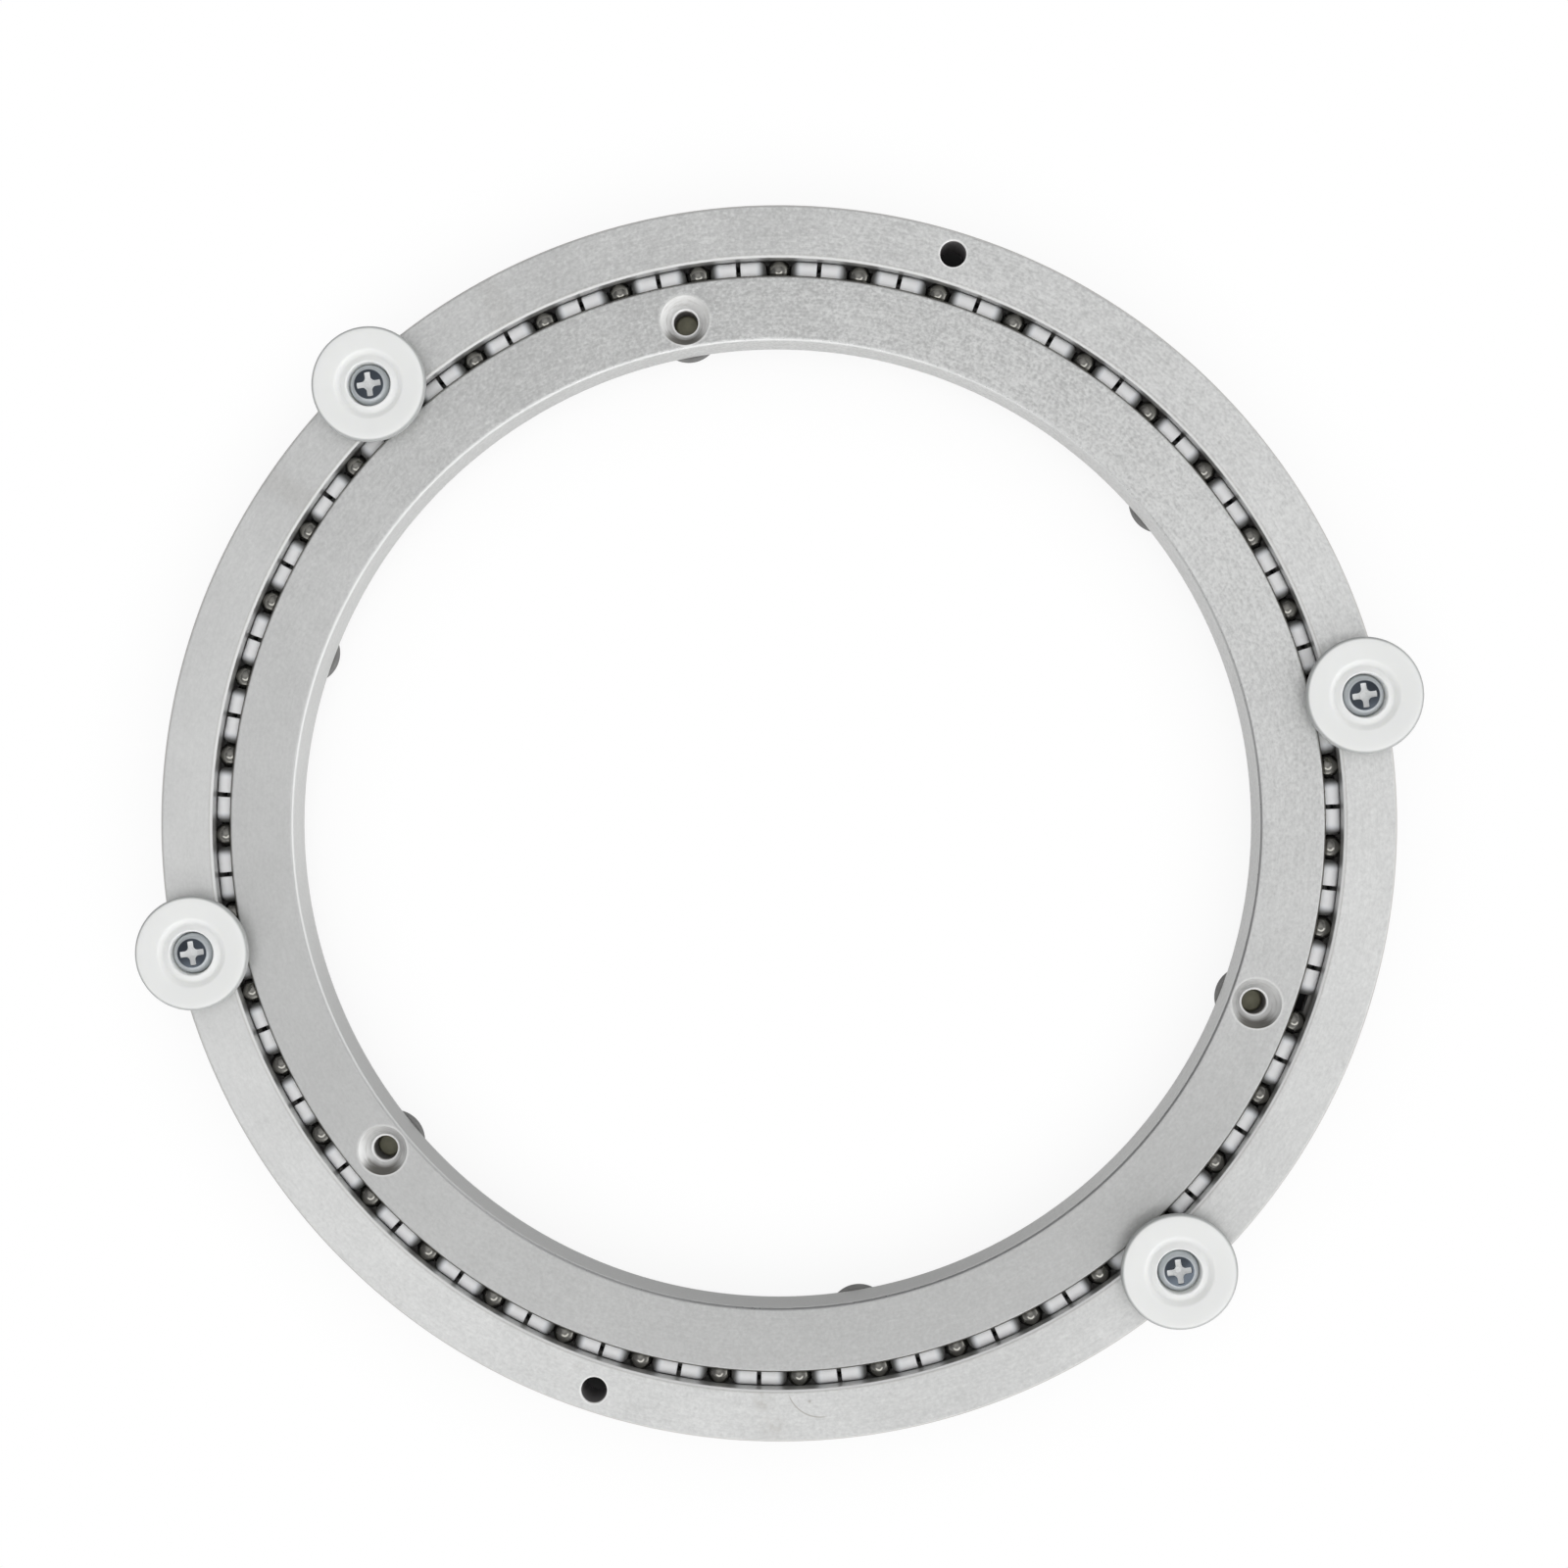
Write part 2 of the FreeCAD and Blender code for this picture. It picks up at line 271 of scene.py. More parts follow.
def turned(points, faces, closed=True):
    """Mesh of an outline turned round the Z axis."""
    points = [Vector(point) for point in points]
    grid = bmesh.new()
    columns = []
    for k in range(faces):
        across, along = cos(2 * pi * k / faces), sin(2 * pi * k / faces)
        columns.append([grid.verts.new((p.x * across, p.x * along, p.y)) for p in points])
    last = len(points) if closed else len(points) - 1
    for k in range(faces):
        here, beside = columns[k - 1], columns[k]
        for n in range(last):
            m = (n + 1) % len(points)
            grid.faces.new((here[n], beside[n], beside[m], here[m]))
    return tidy_vertices(grid)


def prism(points, low, high):
    """Mesh of an outline in the plane, raised from one height to another."""
    points = [Vector(point) for point in points]
    grid = bmesh.new()
    foot = [grid.verts.new((p.x, p.y, low)) for p in points]
    head = [grid.verts.new((p.x, p.y, high)) for p in points]
    grid.faces.new(foot)
    grid.faces.new(head)
    for n in range(len(points)):
        grid.faces.new((foot[n - 1], foot[n], head[n], head[n - 1]))
    return tidy_vertices(grid)


def swung(radius, bearing, height=0.0):
    """Where a piece made at the origin goes: out along X, and then round the axis."""
    return Matrix.Rotation(bearing, 4, "Z") @ Matrix.Translation((radius, 0, height))


def around(count, start=0.0):
    """Evenly spaced angles of a full circle."""
    return [start + 2 * pi * n / count for n in range(count)]


def spread(grid, places):
    """One mesh with a copy of a piece at each place."""
    single = bpy.data.meshes.new("single")
    grid.to_mesh(single)
    grid.free()
    every = bmesh.new()
    for place in places:
        copy = single.copy()
        copy.transform(place)
        every.from_mesh(copy)
        bpy.data.meshes.remove(copy)
    bpy.data.meshes.remove(single)
    return every


def shown(name, grid):
    """Object that holds a mesh, linked to the scene."""
    mesh = bpy.data.meshes.new(name)
    grid.to_mesh(mesh)
    grid.free()
    piece = bpy.data.objects.new(name, mesh)
    bpy.context.scene.collection.objects.link(piece)
    return piece


def settle(piece):
    """Writes what a piece's modifiers make into its own mesh."""
    made = bpy.data.meshes.new_from_object(piece.evaluated_get(bpy.context.evaluated_depsgraph_get()))
    old = piece.data
    piece.modifiers.clear()
    piece.data = made
    bpy.data.meshes.remove(old)
    made.name = piece.name


def cut(piece, cutter):
    """Takes a cutter's space out of a piece."""
    tool = piece.modifiers.new("cut", "BOOLEAN")
    tool.object = cutter
    tool.operation = "DIFFERENCE"
    tool.solver = "EXACT"
    settle(piece)
    spare = cutter.data
    bpy.data.objects.remove(cutter)
    bpy.data.meshes.remove(spare)


def smooth(piece, crease=30.0):
    """Smooth shading that keeps flat faces flat and creases sharp."""
    piece.data.polygons.foreach_set("use_smooth", [True] * len(piece.data.polygons))
    piece.data.set_sharp_from_angle(angle=radians(crease))
    weigh = piece.modifiers.new("weigh", "WEIGHTED_NORMAL")
    weigh.keep_sharp = True
    settle(piece)


def dressed(piece, material, body, slot, *nodes):
    """Gives a piece its finish, sets it on its body and lets it stand for its solids."""
    piece.data.materials.clear()
    piece.data.materials.append(material)
    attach(piece, body)
    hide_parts(*nodes)


def middle_of(node):
    """Centre of a solid's box."""
    low, high = (Vector(corner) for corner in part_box(node))
    return (low + high) / 2


def bearing_of(node):
    """Angle at which a solid lies round the axis."""
    middle = middle_of(node)
    return atan2(middle.y, middle.x)


def place_of(node, height):
    """Where a piece made at the origin goes to stand for a solid."""
    middle = middle_of(node)
    return swung(hypot(middle.x, middle.y), atan2(middle.y, middle.x), height)


class Value:
    """A socket of a finish, on which plain arithmetic adds the nodes that work it out."""

    def __init__(self, finish, socket):
        self.finish = finish
        self.socket = socket

    def __add__(self, other):
        return self.finish.math("ADD", self, other)

    def __radd__(self, other):
        return self.finish.math("ADD", other, self)

    def __sub__(self, other):
        return self.finish.math("SUBTRACT", self, other)

    def __rsub__(self, other):
        return self.finish.math("SUBTRACT", other, self)

    def __mul__(self, other):
        return self.finish.math("MULTIPLY", self, other)

    def __rmul__(self, other):
        return self.finish.math("MULTIPLY", other, self)

    def __truediv__(self, other):
        return self.finish.math("DIVIDE", self, other)

    def __rtruediv__(self, other):
        return self.finish.math("DIVIDE", other, self)

    def __pow__(self, other):
        return self.finish.math("POWER", self, other)

    def __rpow__(self, other):
        return self.finish.math("POWER", other, self)

    def __abs__(self):
        return self.finish.math("ABSOLUTE", self)


class Finish:
    """The nodes of a material or of the world."""

    def __init__(self, owner):
        owner.use_nodes = True
        self.owner = owner
        self.tree = owner.node_tree
        self.tree.nodes.clear()

    def node(self, kind, settings, inputs, output=0):
        """Adds a node: its settings first, and then a value or a link for each of its sockets."""
        made = self.tree.nodes.new(kind)
        for name, value in settings.items():
            setattr(made, name, value)
        for name, value in inputs.items():
            if isinstance(value, Value):
                self.tree.links.new(value.socket, made.inputs[name])
            else:
                made.inputs[name].default_value = value
        return Value(self, made.outputs[output]) if made.outputs else None

    def math(self, operation, *values):
        """A sum, product or other operation on numbers."""
        return self.node("ShaderNodeMath", {"operation": operation}, dict(enumerate(values)))

    def place(self):
        """Where a point lies in the object."""
        return self.node("ShaderNodeTexCoord", {}, {}, "Object")

    def parts(self, vector):
        """The three parts of a vector."""
        split = self.node("ShaderNodeSeparateXYZ", {}, {"Vector": vector}).socket.node
        return [Value(self, socket) for socket in split.outputs]

    def joined(self, x, y, z):
        """A vector from its three parts."""
        return self.node("ShaderNodeCombineXYZ", {}, {"X": x, "Y": y, "Z": z})

    def noise(self, place, scale, detail=2.0, roughness=0.5):
        """Even noise from 0 to 1, with that many waves to a metre."""
        sockets = {"Vector": place, "Scale": scale, "Detail": detail, "Roughness": roughness}
        return self.node("ShaderNodeTexNoise", {"noise_dimensions": "3D"}, sockets)

    def ease(self, value, low, high):
        """Goes smoothly from 0 at the low value to 1 at the high one, which may be the smaller."""
        sockets = {"Value": value, "From Min": low, "From Max": high}
        return self.node("ShaderNodeMapRange", {"interpolation_type": "SMOOTHSTEP"}, sockets)

    def blend(self, factor, first, second):
        """Mixes two colours."""
        first, second = (c if isinstance(c, Value) else (*c, 1.0) for c in (first, second))
        return self.node("ShaderNodeMix", {"data_type": "RGBA"}, {0: factor, 6: first, 7: second}, 2)

    def bump(self, height, distance, strength=1.0):
        """A surface roughened by a height, where a height of 1 stands out by the distance."""
        return self.node("ShaderNodeBump", {}, {"Height": height, "Distance": distance, "Strength": strength})

    def surface(self, **sockets):
        """Ends the finish in one shader, with its sockets named in words joined by underscores."""
        named = {name.replace("_", " "): value for name, value in sockets.items()}
        shader = self.node("ShaderNodeBsdfPrincipled", {}, named)
        self.node("ShaderNodeOutputMaterial", {}, {"Surface": shader})
        return self.owner


def finish_named(name):
    """A new finish for a material of that name."""
    return Finish(bpy.data.materials.new(name))


def scaled(rgb, factor):
    """A colour made darker or lighter."""
    return tuple(min(1.0, c * factor) for c in rgb)


def grey(level):
    """A colour without a hue."""
    return (level, level, level)


def uneven(mask, rgb, low, high):
    """A colour times a low number where a mask is 0, and times a high one where it is 1."""
    return mask.finish.blend(mask, scaled(rgb, low), scaled(rgb, high))


def distance(x, y, point):
    """How far a place in the plane lies from a point."""
    return ((x - point[0]) ** 2 + (y - point[1]) ** 2) ** 0.5


def wave(finish, bearing, peak, count=1):
    """Goes from -1 to 1 and back that many times round the axis, with a peak at an angle in degrees."""
    return finish.math("COSINE", (bearing - radians(peak)) * count)


def grained(finish, place, radius, bearing, shine):
    """Speckled grain of a ring, drawn out round it and stronger on one side, with a painted sheen in its tone: its
    tone, lines, dullness and relief.
    """
    x, y, z = finish.parts(place)
    out_x, out_y, across = x / radius, y / radius, radius + z

    def drawn_out(waves, fine, detail):
        """Noise with so many waves to a radian round the ring and to a metre across it."""
        return finish.noise(finish.joined(out_x * waves, out_y * waves, across * fine), 1.0, detail, 0.6)

    lines = drawn_out(14, 1900, 2.0)
    streaks = drawn_out(40, 600, 2.0)
    grain = drawn_out(120, 1500, 1.0)
    speckle = finish.noise(place, 1400, 1.0, 0.5)
    mottle = finish.noise(place, 60, 3.0, 0.6)
    cloud = finish.noise(place, 14, 1.0, 0.5)
    strength = 0.66 + wave(finish, bearing, -22.5) * 0.3 + wave(finish, bearing, 2.5, 2) * 0.24
    strength = strength * (0.72 + 0.28 * shine)
    shade = ((grain - 0.5) * 1.6 + (speckle - 0.5) * 1.3 + (lines - 0.5) * 0.8 + (streaks - 0.5) * 0.5) * strength
    # The last term is a painted sheen, which makes the faces lightest at the sheen angle and across from it
    shade = shade + (mottle - 0.5) * 0.5 + (cloud - 0.5) * 0.4 + wave(finish, bearing, PAINTED_SHEEN, 2) * 0.18
    relief = (grain * 0.6 + speckle * 0.7 + lines * 0.35 + streaks * 0.3) * strength
    return finish.ease(shade, -0.85, 0.85), lines, (grain - 0.5) * 0.2 * strength, relief


def bored(finish, sizes, x, y, below, hole, colour_of, polish):
    """Adds a hole to a ring's finish: its mouth painted light, its scored countersink, rubbed and further lightened by
    painted light, with a painted shade on one side, and a painted shade in its depths.

    A hole has a middle, a radius, its countersink's radius and the depths between which it turns dark.
    """
    at_x, at_y, narrow, wide, top, bottom = hole
    right, up = x - at_x, y - at_y
    away = (right * right + up * up) ** 0.5
    inside = finish.ease(away, wide + 0.0007, wide + 0.0001)
    brink = finish.ease(away, wide, wide + 0.00015) * inside
    # The mouth gets a painted light, near white
    mouth = finish.ease(away, narrow + 0.0005, narrow + 0.0003) * inside
    cone = finish.ease(away, wide + 0.0001, wide) * (1 - mouth)
    scored = finish.noise(finish.joined(right / away, up / away, away * 2500), 1.0, 2.0, 0.6)
    down = radians(PICTURE_DOWN)
    facing = (right * cos(down) + up * sin(down)) / away + (scored - 0.5) * 0.5
    # A painted shade on one side of the cone, in the colour of the race's oil
    oil = cone * finish.ease(facing, 0.35, 0.95) * finish.ease(away, narrow * 1.2, wide * 0.8)
    # A painted shade deep in the hole
    deep = finish.ease(away, narrow * 1.08, narrow * 1.02) * finish.ease(below, top, bottom)
    for mask, over in (
        (cone * 0.6, sizes.rubbed),
        (cone * finish.ease(scored, 0.45, 0.8) * 0.4, sizes.marks_and_shade),
        (mouth * 0.85, (1.0, 1.0, 0.99)),
        (brink * 0.4, sizes.rubbed),
        (oil * 0.9, scaled(sizes.oil, 0.7)),
        (deep * 0.93, sizes.painted_hole_shade),
    ):
        colour_of = finish.blend(mask, colour_of, over)
    return colour_of, polish * (1 - inside * 0.45) - mouth * 0.5


def aluminium(name, sizes, wall, lip, drop, shine, holes, marks):
    """Aluminium with a speckled grain, marked here and there, turned bright at its race, rubbed and painted lighter
    round its holes, and with painted sheen and shade in places.

    The wall is a ring's rim or bore. The lip is its side of the race, with a bevel of height drop. The shine is 1 on a
    ring whose bevels and race are polished, and 0 on one where they are only rubbed.
    """
    finish = finish_named(name)
    place = finish.place()
    x, y, z = finish.parts(place)
    radius = (x * x + y * y) ** 0.5
    bearing = finish.math("ARCTAN2", y, x)
    below = RING_TOP - z
    tone, lines, dullness, relief = grained(finish, place, radius, bearing, shine)
    metal = scaled(sizes.metal, 1 - 0.065 * shine)
    colour_of = uneven(tone, metal, 0.77, 1.21)
    for mark in marks:
        colour_of = finish.blend(mark(finish, x, y, z), colour_of, sizes.marks_and_shade)

    # Painted light and shade on the polished ring: its bore wall painted lighter all round, and painted shade on one
    # side of its faces and of its bore wall
    edge = sizes.edge
    side = finish.ease(below, edge * 0.7, edge * 1.2) * finish.ease(abs(radius - wall), edge * 1.2, edge * 0.5)
    face_painted_shade = finish.ease(wave(finish, bearing, 10), 0.5, -0.8) * (1 - side) * 0.46
    wall_painted_shade = finish.ease(wave(finish, bearing, 176), 0.35, 0.9) * side * 0.75
    colour_of = finish.blend(side * shine * 0.25, colour_of, sizes.rubbed)
    colour_of = finish.blend((face_painted_shade + wall_painted_shade) * shine, colour_of, scaled(metal, 0.62))

    # The bright bevels, a painted shade along the seam where the outer lip's bevel meets the face, and a painted dark
    # line along the outer rim
    bright = finish.ease(below, 0.00002, 0.00012) * (1 - side)
    turned_metal = finish.blend(0.55 + shine * 0.45, sizes.rubbed, uneven(lines, sizes.turned, 0.85, 1.0))
    seam_shade = finish.ease(abs(abs(radius - lip) - sizes.lip_edge), 0.0003, 0.00005) * (1 - side)
    # Painted shade: a dark line along the outer rim
    painted_light = finish.ease(abs(radius - wall), 0.0006, 0.0004)
    colour_of = finish.blend(bright, colour_of, turned_metal)
    colour_of = finish.blend(seam_shade * (0.3 - 0.3 * shine), colour_of, sizes.marks_and_shade)
    colour_of = finish.blend(painted_light * (0.5 - 0.5 * shine), colour_of, sizes.marks_and_shade)

    # The oily race below the lip
    start = drop * (1.3 - 1.25 * shine)
    race = finish.ease(abs(radius - lip), 0.0015, 0.0013) * finish.ease(below, start, start + 0.0004)
    colour_of = finish.blend(race * (0.15 + 0.7 * shine), colour_of, sizes.oil)
    polish = finish.math("MAXIMUM", bright * shine, race * (0.5 + 0.5 * shine))
    for hole in holes:
        colour_of, polish = bored(finish, sizes, x, y, below, hole, colour_of, polish)
    return finish.surface(
        Base_Color=colour_of,
        Metallic=0.4 + polish * 0.55,
        Roughness=0.50 + dullness - polish * 0.2,
        Normal=finish.bump(relief, 0.00006),
    )


def spot(at, radius, strength):
    """A dull patch on a ring's face."""

    def mask(finish, x, y, z):
        away = distance(x, y, at)
        ragged = finish.noise(finish.joined(x, y, z), 700, 3.0, 0.6)
        return finish.ease(away, radius, radius * 0.2) * finish.ease(ragged, 0.35, 0.7) * strength

    return mask


def scratch(middle, radius, near, reach, strength):
    """A thin arc scratched in a ring's face, as far as it reaches from a point near it."""

    def mask(finish, x, y, z):
        thin = finish.ease(abs(distance(x, y, middle) - radius), 0.00022, 0.00006)
        return thin * finish.ease(distance(x, y, near), reach, reach * 0.7) * strength

    return mask


def stain(bearing, half, strength):
    """A faint warm band straight across a ring's face, at an angle in degrees, with half its width."""
    across, along = cos(radians(bearing)), sin(radians(bearing))

    def mask(finish, x, y, z):
        beside = finish.ease(abs(y * across - x * along), half, half * 0.2)
        return beside * finish.ease(x * across + y * along, 0.0, 0.01) * strength

    return mask


def polished_steel(name, rgb):
    """Polished steel with a faint haze of oil."""
    finish = finish_named(name)
    haze = finish.noise(finish.place(), 900, 3.0, 0.6)
    return finish.surface(
        Base_Color=uneven(haze, rgb, 0.88, 1.1),
        Metallic=1.0,
        Roughness=0.13 + (haze - 0.5) * 0.12,
    )


def plated_steel(name, sizes, at, top):
    """Dark plated steel, smooth on the crown and duller on the shoulder and in the cross, with a painted reflection
    that makes the shoulder paler and a painted light that makes the cross pale.
    """
    finish = finish_named(name)
    place = finish.place()
    x, y, z = finish.parts(place)
    away = off_centre(x, y, at)
    haze = finish.noise(place, 900, 3.0, 0.6)
    low = top - sizes.rise
    cross = finish.ease(z, low - 0.00002, low - 0.00012) * finish.ease(away, sizes.crown * 0.97, sizes.crown * 0.93)
    shoulder = finish.ease(away, sizes.crown * 0.98, sizes.crown * 1.06)
    # The shoulder gets a painted reflection, paler, and the cross a painted light, pale
    plate = finish.blend(shoulder * 0.68, uneven(haze, sizes.steel, 0.88, 1.1), sizes.painted_light)
    return finish.surface(
        Base_Color=finish.blend(cross, plate, sizes.painted_cross_light),
        Metallic=1.0 - cross * 0.7 - shoulder * 0.5,
        Roughness=0.2 + (haze - 0.5) * 0.12 + cross * 0.3 + shoulder * 0.2,
    )


def moulded(name, sizes, circle, bearings):
    """White plastic of the spacers, a little rough from the mould, with painted shade in the slots and at the ends."""
    finish = finish_named(name)
    place = finish.place()
    x, y, _ = finish.parts(place)
    step = (bearings[1] - bearings[0]) % (2 * pi)
    onward = finish.math("ARCTAN2", y, x) + (step / 2 - bearings[0] % (2 * pi) + 2 * pi)
    turns = finish.math("FLOORED_MODULO", onward, 2 * pi) / step
    along = abs(finish.math("FRACT", turns) - 0.5) * (step * circle)
    # Painted shade in the slot and towards each end of the barrels
    painted_slot_and_end_shade = finish.ease(along, sizes.slot * 0.54, sizes.slot * 0.46)
    painted_slot_and_end_shade = painted_slot_and_end_shade + finish.ease(along, sizes.length * 0.31, sizes.length * 0.47) * 0.95
    fine = finish.noise(place, 2500, 2.0, 0.5)
    slow = finish.noise(place, 160, 2.0, 0.5)
    return finish.surface(
        Base_Color=finish.blend(painted_slot_and_end_shade, uneven(slow, sizes.plastic, 0.95, 1.04), sizes.painted_spacer_shade),
        Roughness=0.42 + (fine - 0.5) * 0.15,
        Normal=finish.bump(fine, 0.00001),
        Subsurface_Weight=0.8,
        Subsurface_Radius=(1.0, 1.0, 1.0),
        Subsurface_Scale=0.0009,
    )


def off_centre(x, y, at):
    """Distance from the middle of the nearest cup, which lie alike on both sides of X and of Y."""
    return distance(abs(x), abs(y), (abs(at.x), abs(at.y)))


def milky(name, sizes, at):
    """Soft milky plastic of the cups, satin where it was moulded, with a painted shade along the rim."""
    finish = finish_named(name)
    place = finish.place()
    x, y, _ = finish.parts(place)
    # Mask of the painted shade along the rim
    rim = finish.ease(off_centre(x, y, at), sizes.radius - sizes.rim * 0.55, sizes.radius - sizes.rim * 0.15)
    fine = finish.noise(place, 1800, 2.0, 0.5)
    slow = finish.noise(place, 90, 2.0, 0.5)
    return finish.surface(
        Base_Color=finish.blend(rim * 0.9, uneven(slow, sizes.plastic, 0.975, 1.02), sizes.rim_shade),
        Roughness=0.34 + (fine - 0.5) * 0.1,
        Normal=finish.bump(fine, 0.000008),
        Subsurface_Weight=0.85,
        Subsurface_Radius=(1.0, 1.0, 0.95),
        Subsurface_Scale=sizes.depth,
        IOR=1.46,
    )


def rubber(name, rgb, stem_rgb):
    """Dull rubber with a fine moulded texture and dust on it, and oily stems inside the ring."""
    finish = finish_named(name)
    place = finish.place()
    fine = finish.noise(place, 1600, 3.0, 0.6)
    dust = finish.noise(place, 260, 3.0, 0.6)
    _, _, z = finish.parts(place)
    patches = finish.ease(dust, 0.3, 0.8)
    inside = finish.ease(z, RING_LOW + 0.0005, RING_LOW + 0.001)
    return finish.surface(
        Base_Color=finish.blend(inside, uneven(patches, rgb, 1.0, 1.3), uneven(patches, stem_rgb, 1.0, 1.5)),
        Roughness=0.62 + (fine - 0.5) * 0.2,
        Normal=finish.bump(fine, 0.00003),
    )


def ring_outline(sizes, wall, lip, drop):
    """Outline of a ring, with a race groove in its lip, which faces the balls and has a bevel of a given height."""
    facing = 1 if lip > wall else -1
    gap = abs(sizes.race - lip)
    reach = degrees(atan2(sqrt(sizes.groove**2 - gap**2), gap))
    start = 180 if facing > 0 else 0
    edge, lip_edge = sizes.edge, sizes.lip_edge
    body = rounded(
        [
            (lip, RING_LOW + lip_edge, sizes.soft),
            (lip - facing * lip_edge, RING_LOW, sizes.soft),
            (wall + facing * edge, RING_LOW, sizes.soft),
            (wall, RING_LOW + edge, sizes.soft),
            (wall, RING_TOP - edge, sizes.soft),
            (wall + facing * edge, RING_TOP, sizes.soft),
            (lip - facing * lip_edge, RING_TOP, sizes.soft),
            (lip, RING_TOP - drop, sizes.soft * drop / lip_edge),
        ],
        3,
    )
    groove = arc((sizes.race, RACE_HEIGHT), sizes.groove, start - facing * reach, start + facing * reach, 16)
    return body + groove


class BEARING_OT_outer_ring(bpy.types.Operator):
    """Turn the outer ring and bore its six screw holes"""

    bl_idname = "bearing.outer_ring"
    bl_label = "Outer ring"

    def execute(self, context):
        sizes = context.scene.bearing_rings
        outline = ring_outline(sizes, sizes.outer_radius, sizes.outer_lip, sizes.lip_drop)
        piece = shown("ring_outer", turned(outline, sizes.faces))
        hole, edge = sizes.screw_hole, 0.0003
        drill = [
            (0, RING_LOW - CLEAR),
            (hole + edge, RING_LOW - CLEAR),
            *arc((hole + edge, RING_LOW + edge), edge, 270, 180, 4)[1:],
            *arc((hole + edge, RING_TOP - edge), edge, 180, 90, 4)[:-1],
            (hole + edge, RING_TOP + CLEAR),
            (0, RING_TOP + CLEAR),
        ]
        places = [swung(sizes.screw_circle, bearing) for bearing in around(SCREW_HOLES)]
        cut(piece, shown("drill", spread(turned(drill, HOLE_FACES, closed=False), places)))
        smooth(piece)
        marks = [
            spot(at=(-0.1341, -0.0401), radius=0.0036, strength=0.5),
            spot(at=(-0.1396, -0.0441), radius=0.0045, strength=0.4),
            spot(at=(-0.1306, -0.0507), radius=0.0006, strength=0.9),
            spot(at=(-0.1402, 0.0053), radius=0.0018, strength=0.5),
            scratch(middle=(-0.12587, -0.05184), radius=0.0080, near=(-0.1338, -0.0502), reach=0.0062, strength=0.8),
            stain(bearing=72.9, half=0.0045, strength=0.16),
            stain(bearing=45.5, half=0.0045, strength=0.12),
        ]
        dark_from, dark_to = 0.0002, 0.0007
        holes = [(x * sizes.screw_circle, 0.0, hole, hole, dark_from, dark_to) for x in (1, -1)]
        walls = sizes.outer_radius, sizes.outer_lip, sizes.lip_drop
        finish = aluminium("outer_aluminium", sizes, *walls, 0.0, holes, marks)
        dressed(piece, finish, "turning_ring", "ring", "outer_ring")
        return {"FINISHED"}


class BEARING_OT_inner_ring(bpy.types.Operator):
    """Turn the inner ring and make the holes for its feet"""

    bl_idname = "bearing.inner_ring"
    bl_label = "Inner ring"

    def execute(self, context):
        sizes = context.scene.bearing_rings
        outline = ring_outline(sizes, sizes.bore, sizes.inner_lip, sizes.lip_edge)
        piece = shown("ring_inner", turned(outline, sizes.faces))
        hole, wide = sizes.foot_hole, sizes.sink
        depth, nick, land, brink = wide - hole, 0.0001, 0.00045, 0.00012
        sink = [
            (0, RING_LOW - CLEAR),
            (hole, RING_LOW - CLEAR),
            (hole, RING_TOP - depth - nick),
            (hole + nick, RING_TOP - depth),
            (hole + land, RING_TOP - depth + nick),
            (wide, RING_TOP),
            (wide + brink, RING_TOP + brink / 3),
            (wide + brink, RING_TOP + CLEAR),
            (0, RING_TOP + CLEAR),
        ]
        blind = [
            (0, RING_LOW - CLEAR),
            (hole, RING_LOW - CLEAR),
            (hole, RING_LOW + sizes.stem_room),
            (0, RING_LOW + sizes.stem_room),
        ]
        for outline, nodes in ((sink, FEET[0::2]), (blind, FEET[1::2])):
            cutter = turned(outline, HOLE_FACES, closed=False)
            cut(piece, shown("drill", spread(cutter, [place_of(node, 0.0) for node in nodes])))
        smooth(piece)
        dark_from, dark_to = 0.0032, 0.0045
        holes = [(*middle_of(node).xy, hole, wide, dark_from, dark_to) for node in FEET[0::2]]
        walls = sizes.bore, sizes.inner_lip, sizes.lip_edge
        finish = aluminium("inner_aluminium", sizes, *walls, 1.0, holes, [])
        dressed(piece, finish, "base", "ring", "inner_ring")
        return {"FINISHED"}


class BEARING_OT_balls(bpy.types.Operator):
    """Lay a ball in the race after each spacer"""

    bl_idname = "bearing.balls"
    bl_label = "Balls"

    def execute(self, context):
        sizes = context.scene.bearing_balls
        ball = turned(arc((0, 0), sizes.radius, -90, 90, sizes.faces // 2), sizes.faces, closed=False)
        bearings = [bearing_of(name) for name in SPACERS]
        step = (bearings[1] - bearings[0]) % (2 * pi)
        places = [swung(sizes.circle, bearing + step / 2, RACE_HEIGHT) for bearing in bearings]
        piece = shown("ball_row", spread(ball, places))
        smooth(piece)
        dressed(piece, polished_steel("ball_steel", sizes.steel), "ball_train", "ball", "balls")
        return {"FINISHED"}


